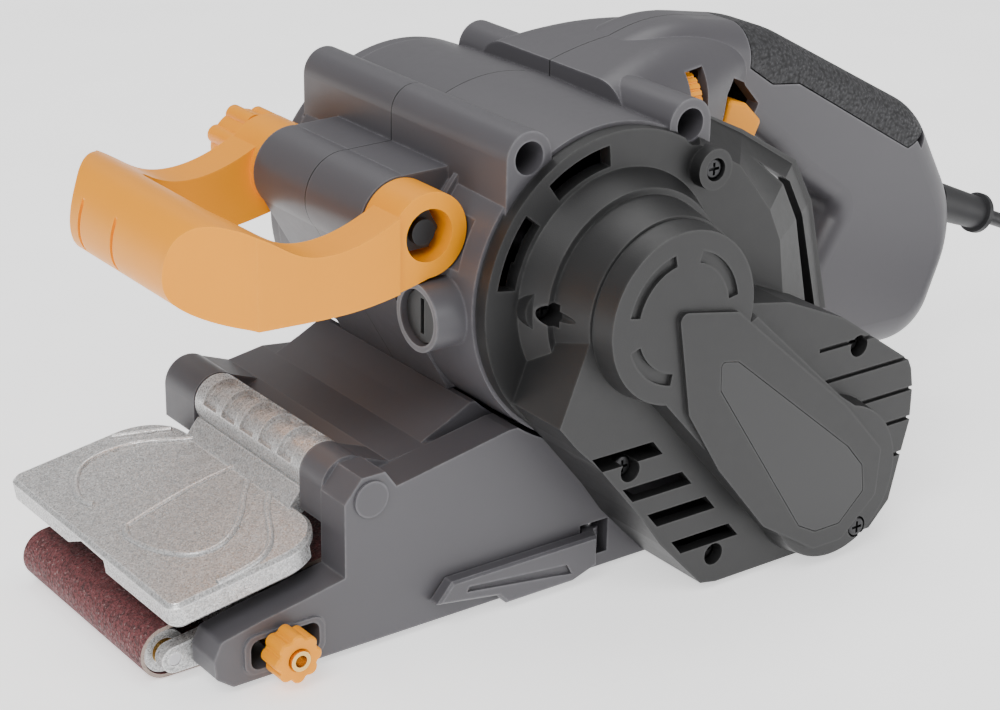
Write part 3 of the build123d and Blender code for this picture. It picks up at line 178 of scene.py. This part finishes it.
def moulded_group():
    """Moulded plastic: fine grain, a faint mottle, sharp edges lightened by a painted highlight and by wear,
    and a parting line.
    """
    tree, given, result = new_group(
        "Moulded Plastic",
        [
            ("Color", "NodeSocketColor", (0.1, 0.1, 0.1, 1)),
            ("Edge", "NodeSocketColor", (0.3, 0.3, 0.3, 1)),
            ("Wear And Highlight", "NodeSocketFloat", 0.6),
            ("Grain", "NodeSocketFloat", 2500.0),
            ("Roughness", "NodeSocketFloat", 0.45),
            ("Parting", "NodeSocketFloat", 0.0),
        ],
        TEXTURED,
    )
    cloud = noise(tree, 18.0, 6.0)
    scuff = noise(tree, 240.0, 5.0, 0.7)
    grain = noise(tree, given.outputs["Grain"], 2.0)
    edge = edge_wear_highlight_mask(tree, EDGE_WEAR_HIGHLIGHT_WIDTH)
    broken = ranged(tree, scuff.outputs["Fac"], 0.3, 0.6, 0.25, 1.0)
    edge_wear_and_highlight = math_node(tree, "MULTIPLY", math_node(tree, "MULTIPLY", edge, broken), given.outputs["Wear And Highlight"])
    tone = ranged(tree, cloud.outputs["Fac"], 0.3, 0.7, 0.97, 1.03)
    shade = blended(tree, 1.0, given.outputs["Color"], tone, "MULTIPLY")
    # sharp edges mixed toward the Edge colour: a painted highlight, and wear
    shade = blended(tree, edge_wear_and_highlight, shade, given.outputs["Edge"])
    # line where the two shells meet, on the centre plane
    place = tree.nodes.new("ShaderNodeTexCoord")
    axes = tree.nodes.new("ShaderNodeSeparateXYZ")
    tree.links.new(place.outputs["Object"], axes.inputs["Vector"])
    off_plane = math_node(tree, "ABSOLUTE", axes.outputs["Y"], 0.0)
    seam = math_node(tree, "LESS_THAN", off_plane, PARTING_HALF_WIDTH)
    seam = math_node(tree, "MULTIPLY", seam, given.outputs["Parting"])
    tree.links.new(blended(tree, seam, shade, PARTING_COLOUR), result.inputs["Color"])
    rough = ranged(tree, scuff.outputs["Fac"], 0.3, 0.7, -0.02, 0.03)
    tree.links.new(math_node(tree, "ADD", given.outputs["Roughness"], rough), result.inputs["Roughness"])
    tree.links.new(grain.outputs["Fac"], result.inputs["Height"])
    return tree


def sparkle_group():
    """Cast metal paint: bright flakes over a mid gray, with a pebbled skin, and sharp edges painted near
    white as bare metal and as a painted highlight.
    """
    tree, given, result = new_group(
        "Cast Sparkle",
        [
            ("Color", "NodeSocketColor", (0.6, 0.6, 0.6, 1)),
            ("Flake", "NodeSocketFloat", 2400.0),
            ("Roughness", "NodeSocketFloat", 0.38),
        ],
        TEXTURED,
    )
    place = tree.nodes.new("ShaderNodeTexCoord")
    flake = tree.nodes.new("ShaderNodeTexVoronoi")
    tree.links.new(place.outputs["Object"], flake.inputs["Vector"])
    tree.links.new(given.outputs["Flake"], flake.inputs["Scale"])
    split = tree.nodes.new("ShaderNodeSeparateColor")
    tree.links.new(flake.outputs["Color"], split.inputs["Color"])
    bright = ranged(tree, split.outputs["Red"], 0.0, 1.0, 0.62, 1.25)
    shade = blended(tree, 1.0, given.outputs["Color"], bright, "MULTIPLY")
    # sharp edges painted near white: bare metal wear, and a painted highlight
    tree.links.new(blended(tree, edge_wear_highlight_mask(tree, CAST_EDGE_WEAR_HIGHLIGHT_WIDTH), shade, BARE_METAL_AND_HIGHLIGHT), result.inputs["Color"])
    rough = ranged(tree, split.outputs["Green"], 0.0, 1.0, -0.16, 0.18)
    tree.links.new(math_node(tree, "ADD", given.outputs["Roughness"], rough), result.inputs["Roughness"])
    tree.links.new(split.outputs["Blue"], result.inputs["Height"])
    return tree


def grit_group():
    """Abrasive grain bonded on cloth: maroon crumbs, pale specks and bare cloth at the belt's edges."""
    tree, given, result = new_group(
        "Bonded Grit",
        [
            ("Color", "NodeSocketColor", (0.1, 0.03, 0.03, 1)),
            ("Cloth", "NodeSocketColor", (0.4, 0.3, 0.26, 1)),
            ("Crumbs", "NodeSocketFloat", 1500.0),
        ],
        TEXTURED,
    )
    place = tree.nodes.new("ShaderNodeTexCoord")
    crumb = tree.nodes.new("ShaderNodeTexVoronoi")
    tree.links.new(place.outputs["Object"], crumb.inputs["Vector"])
    tree.links.new(given.outputs["Crumbs"], crumb.inputs["Scale"])
    split = tree.nodes.new("ShaderNodeSeparateColor")
    tree.links.new(crumb.outputs["Color"], split.inputs["Color"])
    tone = ranged(tree, split.outputs["Red"], 0.0, 1.0, 0.45, 1.7)
    shade = blended(tree, 1.0, given.outputs["Color"], tone, "MULTIPLY")
    speck = ranged(tree, split.outputs["Green"], 0.93, 0.99, 0.0, 0.55)
    speckled = blended(tree, speck, shade, PALE_SPECK)
    side = tree.nodes.new("ShaderNodeNewGeometry")
    axes = tree.nodes.new("ShaderNodeSeparateXYZ")
    tree.links.new(side.outputs["Normal"], axes.inputs["Vector"])
    rim = ranged(tree, math_node(tree, "ABSOLUTE", axes.outputs["Y"], 0.0), 0.7, 0.9, 0.0, 1.0)
    tree.links.new(blended(tree, rim, speckled, given.outputs["Cloth"]), result.inputs["Color"])
    tree.links.new(ranged(tree, split.outputs["Blue"], 0.0, 1.0, 0.45, 0.85), result.inputs["Roughness"])
    tree.links.new(crumb.outputs["Distance"], result.inputs["Height"])
    return tree


def leather_group():
    """Pebbled rubber: rounded cells with fine creases between them, with painted shade in the creases and a
    painted highlight on the cell tops.
    """
    tree, given, result = new_group(
        "Pebbled Rubber",
        [("Color", "NodeSocketColor", (0.02, 0.02, 0.02, 1)), ("Cells", "NodeSocketFloat", 900.0)],
        TEXTURED,
    )
    warp = noise(tree, 500.0, 3.0)
    cell = tree.nodes.new("ShaderNodeTexVoronoi")
    cell.feature = "SMOOTH_F1"
    place = tree.nodes.new("ShaderNodeTexCoord")
    shift = tree.nodes.new("ShaderNodeVectorMath")
    shift.operation = "MULTIPLY_ADD"
    shift.inputs[1].default_value = (0.0012, 0.0012, 0.0012)
    tree.links.new(warp.outputs["Color"], shift.inputs[0])
    tree.links.new(place.outputs["Object"], shift.inputs[2])
    tree.links.new(shift.outputs[0], cell.inputs["Vector"])
    tree.links.new(given.outputs["Cells"], cell.inputs["Scale"])
    high = ranged(tree, cell.outputs["Distance"], 0.1, 0.7, 1.0, 0.0)
    # painted shade in the creases and a painted highlight on the pebble tops
    tone = ranged(tree, high, 0.0, 1.0, 0.6, 2.2)
    tree.links.new(blended(tree, 1.0, given.outputs["Color"], tone, "MULTIPLY"), result.inputs["Color"])
    tree.links.new(ranged(tree, high, 0.0, 1.0, 0.75, 0.48), result.inputs["Roughness"])
    tree.links.new(high, result.inputs["Height"])
    return tree


MAKERS = {
    "plastic": moulded_group,
    "sparkle": sparkle_group,
    "grit": grit_group,
    "leather": leather_group,
}
GROUPS = {}


def group(name):
    """Shader group by name, built at its first use."""
    if name not in GROUPS:
        GROUPS[name] = MAKERS[name]()
    return GROUPS[name]


def finish(name, effect, values, bump=0.1, reach=0.0002, **constants):
    """Material whose colour, roughness and bump come from one shared effect."""
    material = bpy.data.materials.new(name)
    material.use_nodes = True
    tree = material.node_tree
    shader = tree.nodes["Principled BSDF"]
    for socket, value in constants.items():
        shader.inputs[socket.replace("_", " ")].default_value = value
    node = tree.nodes.new("ShaderNodeGroup")
    node.node_tree = group(effect)
    for socket, value in values.items():
        node.inputs[socket].default_value = (*value, 1.0) if hasattr(value, "__len__") else value
    tree.links.new(node.outputs["Color"], shader.inputs["Base Color"])
    tree.links.new(node.outputs["Roughness"], shader.inputs["Roughness"])
    relief = tree.nodes.new("ShaderNodeBump")
    relief.inputs["Strength"].default_value = bump
    relief.inputs["Distance"].default_value = reach
    tree.links.new(node.outputs["Height"], relief.inputs["Height"])
    tree.links.new(relief.outputs["Normal"], shader.inputs["Normal"])
    return material


def plastic(colour, edge, wear_and_highlight, roughness, grain=None):
    """Values of the moulded plastic effect."""
    return {
        "Color": colour,
        "Edge": edge,
        # strength of the lightened edges: a painted highlight, and wear
        "Wear And Highlight": wear_and_highlight,
        "Grain": grain or sizes().grain,
        "Roughness": roughness,
    }


def dress(material, *nodes):
    """Give CAD nodes a material."""
    for name in nodes:
        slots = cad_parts[name].data.materials
        slots.clear()
        slots.append(material)


def colours():
    """Colours set in the sidebar."""
    return bpy.context.scene.sander_colours


def sizes():
    """Sizes set in the sidebar."""
    return bpy.context.scene.sander_sizes


# ---- piece helpers ----
def tube(name, points, radius, body, material):
    """Smooth round cord through control points, as a curve with a bevel."""
    curve = bpy.data.curves.new(name, "CURVE")
    curve.dimensions = "3D"
    curve.bevel_depth = radius
    curve.bevel_resolution = 5
    curve.resolution_u = 8
    curve.use_fill_caps = True
    spline = curve.splines.new("NURBS")
    spline.points.add(len(points) - 1)
    for control, point in zip(spline.points, points):
        control.co = (*point, 1.0)
    spline.order_u = 3
    spline.use_endpoint_u = True
    piece = bpy.data.objects.new(name, curve)
    bpy.context.scene.collection.objects.link(piece)
    curve.materials.append(material)
    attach(piece, body)
    return piece


class SANDER_OT_housing(bpy.types.Operator):
    """Gray moulded housing, end cover and base"""
    bl_idname = "sander.housing"
    bl_label = "Housing"

    def execute(self, context):
        # edges lightened as a painted highlight, and as wear
        values = plastic(colours().housing, colours().housing_edge_wear_and_highlight, 0.75, 0.40)
        base = finish("Gray Base", "plastic", values, bump=0.08)
        dress(base, "right_end_cover", "base_frame", "tension_lever", "guard_hinge_pin")
        values["Parting"] = 0.85
        dress(finish("Gray Housing", "plastic", values, bump=0.08), "housing_left", "housing_right")
        return {"FINISHED"}


class SANDER_OT_case(bpy.types.Operator):
    """Black drive side case, belt cover and small black mouldings"""
    bl_idname = "sander.case"
    bl_label = "Drive side case"

    def execute(self, context):
        # lighter edge colour on the black parts: a painted highlight, and wear
        edge = colours().case_edge_wear_and_highlight
        values = plastic(colours().case, edge, 0.8, 0.46)
        black = finish("Black Moulding", "plastic", values, bump=0.16)
        dress(black, "drive_side_case", "drive_belt_cover", "brush_caps", "switch_module", "speed_module",
              "dust_outlet", "plug_body")
        values = plastic((0.016, 0.016, 0.017), edge, 0.3, 0.30)
        dress(finish("Blank Inlay", "plastic", values, bump=0.03), "cover_label_inlay")
        return {"FINISHED"}


class SANDER_OT_orange(bpy.types.Operator):
    """Orange handle, knobs, trigger and buttons"""
    bl_idname = "sander.orange"
    bl_label = "Orange parts"

    def execute(self, context):
        # lighter orange on the sharp edges: a painted highlight, and wear
        values = plastic(colours().handle, (1.0, 0.42, 0.02), 0.35, 0.36)
        orange = finish("Orange Plastic", "plastic", values, bump=0.05, Specular_IOR_Level=0.3)
        dress(orange, "front_handle", "handle_clamp_knob", "tracking_knob", "trigger", "lock_button",
              "speed_dial")
        return {"FINISHED"}


# Top of the guard's plate: the middle of its rear edge, and its slope down to the front.
GUARD_REAR = Vector((-56.7, 0, 38.5)) * MM
GUARD_TILT = radians(9.0)
# Cast ridges on the plate, as millimetres forward of the rear edge and across it.
GUARD_RIDGES = {
    "guard_leaf_far": [
        (1, 28), (5, 31), (11, 37), (19, 41), (28, 42), (35, 40), (40, 34), (44, 26), (45, 19), (43, 16),
    ],
    "guard_midrib": [(1, 3), (13, 3), (25, 1), (35, -1), (42, -3)],
    "guard_leaf_near": [
        (42, -3), (45, -7), (44, -16), (41, -25), (36, -32), (29, -34), (22, -31), (14, -23), (8, -14),
        (3, -8),
    ],
    "guard_step_near": [(2, -19), (6, -24), (10, -32), (15, -42), (21, -48), (29, -50), (38, -50)],
    "guard_step_far": [(3, 39), (12, 45), (19, 49)],
}


def on_guard(forward, across):
    """Point on the guard's plate, in metres."""
    point = GUARD_REAR + Vector((-cos(GUARD_TILT), 0, -sin(GUARD_TILT))) * forward * MM
    return Vector((point.x, across * MM, point.z))


class SANDER_OT_guard(bpy.types.Operator):
    """Cast front guard with its raised leaf ridges"""
    bl_idname = "sander.guard"
    bl_label = "Front guard"

    def execute(self, context):
        values = {"Color": colours().guard}
        cast = finish("Cast Guard", "sparkle", values, bump=0.3, reach=0.3 * MM, Metallic=0.6)
        dress(cast, "front_guard", "roller_carriage", "drive_roller", "front_roller")
        for name, line in GUARD_RIDGES.items():
            points = [on_guard(forward, across) for forward, across in line]
            tube(name, points, sizes().ridge_radius, "guard_body", cast)
        return {"FINISHED"}


class SANDER_OT_belt(bpy.types.Operator):
    """Maroon abrasive belt"""
    bl_idname = "sander.belt"
    bl_label = "Sanding belt"

    def execute(self, context):
        values = {"Color": colours().grit, "Cloth": colours().cloth}
        dress(finish("Bonded Grit", "grit", values, bump=0.7, reach=0.4 * MM), "sanding_belt")
        return {"FINISHED"}


class SANDER_OT_rubber(bpy.types.Operator):
    """Pebbled grip rubber and plain rubber parts"""
    bl_idname = "sander.rubber"
    bl_label = "Rubber"

    def execute(self, context):
        black = colours().rubber
        # grip colour has painted shade in the creases and a painted highlight on the pebble tops
        dress(finish("Pebbled Grip", "leather", {"Color": black}, bump=0.9, reach=0.6 * MM), "rubber_grip")
        # lighter gray on the sharp edges: a painted highlight, and wear
        values = plastic(black, (0.08, 0.08, 0.08), 0.4, 0.5, grain=1400.0)
        smooth = finish("Plain Rubber", "plastic", values, bump=0.1)
        dress(smooth, "roller_rubber_sleeve", "timing_belt", "cord_strain_relief", "carbon_brushes")
        return {"FINISHED"}


# Inner and turned parts: finish, colour, metallic, roughness and the nodes that have it.
PLAIN_PARTS = [
    ("Blackened Screws", (0.05, 0.05, 0.052), 0.9, 0.38,
     ["case_screws", "drive_cover_screws", "housing_screws", "handle_bolt", "handle_nut"]),
    ("Machined Steel", (0.52, 0.52, 0.54), 1.0, 0.32,
     ["platen_plate", "stator_core", "armature_shaft", "armature_core", "motor_bearings", "roller_bearings",
      "drive_shaft", "front_roller_axle", "tension_spring", "tension_lever_pin", "brush_springs",
      "drive_pulley", "driven_pulley"]),
    ("Turned Brass", None, 1.0, 0.26,
     ["tracking_insert", "brush_holders", "front_roller_bearings", "plug_pins"]),
    ("Copper Winding", (0.60, 0.24, 0.11), 1.0, 0.36, ["field_coils", "commutator"]),
    ("Pressed Cork", (0.42, 0.27, 0.14), 0.0, 0.8, ["platen_cork"]),
    ("White Nylon", (0.70, 0.69, 0.65), 0.0, 0.45, ["cooling_fan"]),
]


class SANDER_OT_metal(bpy.types.Operator):
    """Steel, brass, copper, cork and nylon parts"""
    bl_idname = "sander.metal"
    bl_label = "Metal and inner parts"

    def execute(self, context):
        for name, colour_or_none, metallic, rough, nodes in PLAIN_PARTS:
            shade = colour_or_none or colours().brass
            # brighter colour on the sharp edges: a painted highlight, and wear
            edge = tuple(min(1.0, part * 1.5) for part in shade)
            values = plastic(shade, edge, 0.5, rough, grain=900.0)
            dress(finish(name, "plastic", values, bump=0.06, Metallic=metallic), *nodes)
        return {"FINISHED"}


# Control points of the free cord from the strain relief to the coil, in millimetres.
CORD_ROUTE = [
    (262, 0, 60), (291, 0, 48.4), (317, 2, 31), (338, 0, 15), (350.5, -10, 5.5), (354.6, -27, 3.0),
    (354.6, -46, 3.0),
]
# Control points from the top of the coil down into the plug, in millimetres.
CORD_END = [(333, -97, 12.5), (322, -100.5, 9.5), (311, -99.5, 6.4), (303.5, -98.6, 5.2)]
COIL_CENTRE = (318.0, -62.0)
# Radius and height of the coil at each whole turn.
COIL_STEPS = [
    (36.4, 3.0), (31, 3.0), (25.4, 3.0), (25.4, 8.5), (25.4, 14), (31, 14), (31, 8.5), (36.4, 8.5),
    (36.4, 14),
]
COIL_TURNS = 8.125
POINTS_A_TURN = 16


def coil_points():
    """Turns wound clockwise seen from above, stepping in and up once a turn."""
    points = []
    for index in range(1, int(COIL_TURNS * POINTS_A_TURN) + 1):
        turn = index / POINTS_A_TURN
        step = min(int(turn), len(COIL_STEPS) - 2)
        part = min(turn - step, 1.0)
        radius = COIL_STEPS[step][0] * (1 - part) + COIL_STEPS[step + 1][0] * part
        height = COIL_STEPS[step][1] * (1 - part) + COIL_STEPS[step + 1][1] * part
        angle = -2 * pi * turn
        points.append((COIL_CENTRE[0] + radius * cos(angle), COIL_CENTRE[1] + radius * sin(angle), height))
    return points


class SANDER_OT_cord(bpy.types.Operator):
    """Mains lead with its put-away coil and plug"""
    bl_idname = "sander.cord"
    bl_label = "Cord"

    def execute(self, context):
        # lighter gray on the sharp edges: a painted highlight, and wear
        values = plastic(colours().rubber, (0.06, 0.06, 0.06), 0.2, 0.42, grain=1800.0)
        jacket = finish("Cord Jacket", "plastic", values, bump=0.05)
        points = [Vector(point) * MM for point in CORD_ROUTE + coil_points() + CORD_END]
        cord = tube("mains_cord", points, sizes().cord_diameter / 2, "root", jacket)
        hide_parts("cord", "cord_coil")
        return {"FINISHED"}


# ---- stage ----
CAMERA_PLACE = Vector((-387.0, -578.8, 352.5)) * MM
CAMERA_TURN = radians(36.45)
CAMERA_DROP = radians(22.55)
CAMERA_ROLL = radians(0.97)
CAMERA_LENS = 86.2
FLOOR_HALF = 6.0
FLOOR_GAP = 0.4 * MM
FLOOR_GLOW = 0.95
SKY_STRENGTH = 0.45
LAMP_TARGET = Vector((0.05, 0.0, 0.08))
# Name, place, side length and power of each soft lamp.
LAMPS = [
    ("Key", (-0.9, -0.7, 1.3), 0.9, 19),
    ("Top", (0.3, 0.5, 1.6), 1.2, 14),
    ("Near", (0.9, -1.3, 0.6), 0.8, 7),
]


def place_camera():
    """Camera at its place, turned right from +Y, dropped below level and rolled."""
    data = bpy.data.cameras.new("Camera")
    data.lens = CAMERA_LENS
    data.sensor_width = 36.0
    data.sensor_fit = "HORIZONTAL"
    camera = bpy.data.objects.new("Camera", data)
    bpy.context.scene.collection.objects.link(camera)
    bpy.context.scene.camera = camera
    level = cos(CAMERA_DROP)
    ahead = Vector((sin(CAMERA_TURN) * level, cos(CAMERA_TURN) * level, -sin(CAMERA_DROP)))
    right = ahead.cross(Vector((0, 0, 1))).normalized()
    up = right.cross(ahead)
    across = right * cos(CAMERA_ROLL) + up * sin(CAMERA_ROLL)
    above = up * cos(CAMERA_ROLL) - right * sin(CAMERA_ROLL)
    turn = Matrix((across, above, -ahead)).transposed().to_4x4()
    camera.matrix_world = Matrix.Translation(CAMERA_PLACE) @ turn


def lay_floor():
    """Wide pale paper floor just under the sander."""
    corners = [(-1, -1), (1, -1), (1, 1), (-1, 1)]
    mesh = bpy.data.meshes.new("Floor")
    mesh.from_pydata([(x * FLOOR_HALF, y * FLOOR_HALF, 0) for x, y in corners], [], [(0, 1, 2, 3)])
    floor = bpy.data.objects.new("Floor", mesh)
    bpy.context.scene.collection.objects.link(floor)
    values = plastic(colours().floor, colours().floor, 0.0, 0.7, grain=400.0)
    paper = finish("Floor Paper", "plastic", values, bump=0.01, Emission_Strength=FLOOR_GLOW)
    paper.node_tree.nodes["Principled BSDF"].inputs["Emission Color"].default_value = (1, 1, 1, 1)
    mesh.materials.append(paper)
    floor.location.z = -FLOOR_GAP


def light_sky():
    """Even white light from all round."""
    world = bpy.data.worlds.new("Studio")
    world.use_nodes = True
    sky = world.node_tree.nodes["Background"]
    sky.inputs["Color"].default_value = (1, 1, 1, 1)
    sky.inputs["Strength"].default_value = SKY_STRENGTH
    bpy.context.scene.world = world


def lamp(name, place, size, power):
    """Soft square lamp aimed at the sander."""
    data = bpy.data.lights.new(name, "AREA")
    data.size = size
    data.energy = power
    light = bpy.data.objects.new(name, data)
    bpy.context.scene.collection.objects.link(light)
    light.location = place
    light.rotation_euler = (LAMP_TARGET - Vector(place)).to_track_quat("-Z", "Y").to_euler()


class SANDER_OT_stage(bpy.types.Operator):
    """Camera, floor and soft studio lamps"""
    bl_idname = "sander.stage"
    bl_label = "Stage"

    def execute(self, context):
        place_camera()
        lay_floor()
        light_sky()
        for name, place, size, power in LAMPS:
            lamp(name, place, size, power)
        return {"FINISHED"}


class SANDER_PT_panel(bpy.types.Panel):
    """Sidebar list of the sander's pieces"""
    bl_label = "Sander"
    bl_idname = "SANDER_PT_panel"
    bl_space_type = "VIEW_3D"
    bl_region_type = "UI"
    bl_category = "Sander"

    def draw(self, context):
        for step in STEPS:
            self.layout.operator(step.bl_idname)
        for prop in SanderColours.__annotations__:
            self.layout.prop(context.scene.sander_colours, prop)
        for prop in SanderSizes.__annotations__:
            self.layout.prop(context.scene.sander_sizes, prop)


STEPS = [
    SANDER_OT_stage, SANDER_OT_cord, SANDER_OT_housing, SANDER_OT_case, SANDER_OT_orange, SANDER_OT_guard,
    SANDER_OT_belt, SANDER_OT_rubber, SANDER_OT_metal,
]
CLASSES = [SanderColours, SanderSizes, *STEPS, SANDER_PT_panel]


def register():
    """Register the classes and the two property groups."""
    for item in CLASSES:
        bpy.utils.register_class(item)
    bpy.types.Scene.sander_colours = bpy.props.PointerProperty(type=SanderColours)
    bpy.types.Scene.sander_sizes = bpy.props.PointerProperty(type=SanderSizes)


def unregister():
    """Take the property groups and classes away again."""
    del bpy.types.Scene.sander_sizes
    del bpy.types.Scene.sander_colours
    for item in reversed(CLASSES):
        bpy.utils.unregister_class(item)


def main():
    """Run every step in order."""
    register()
    for step in STEPS:
        space, name = step.bl_idname.split(".")
        getattr(getattr(bpy.ops, space), name)()


if __name__ == "__main__":
    main()
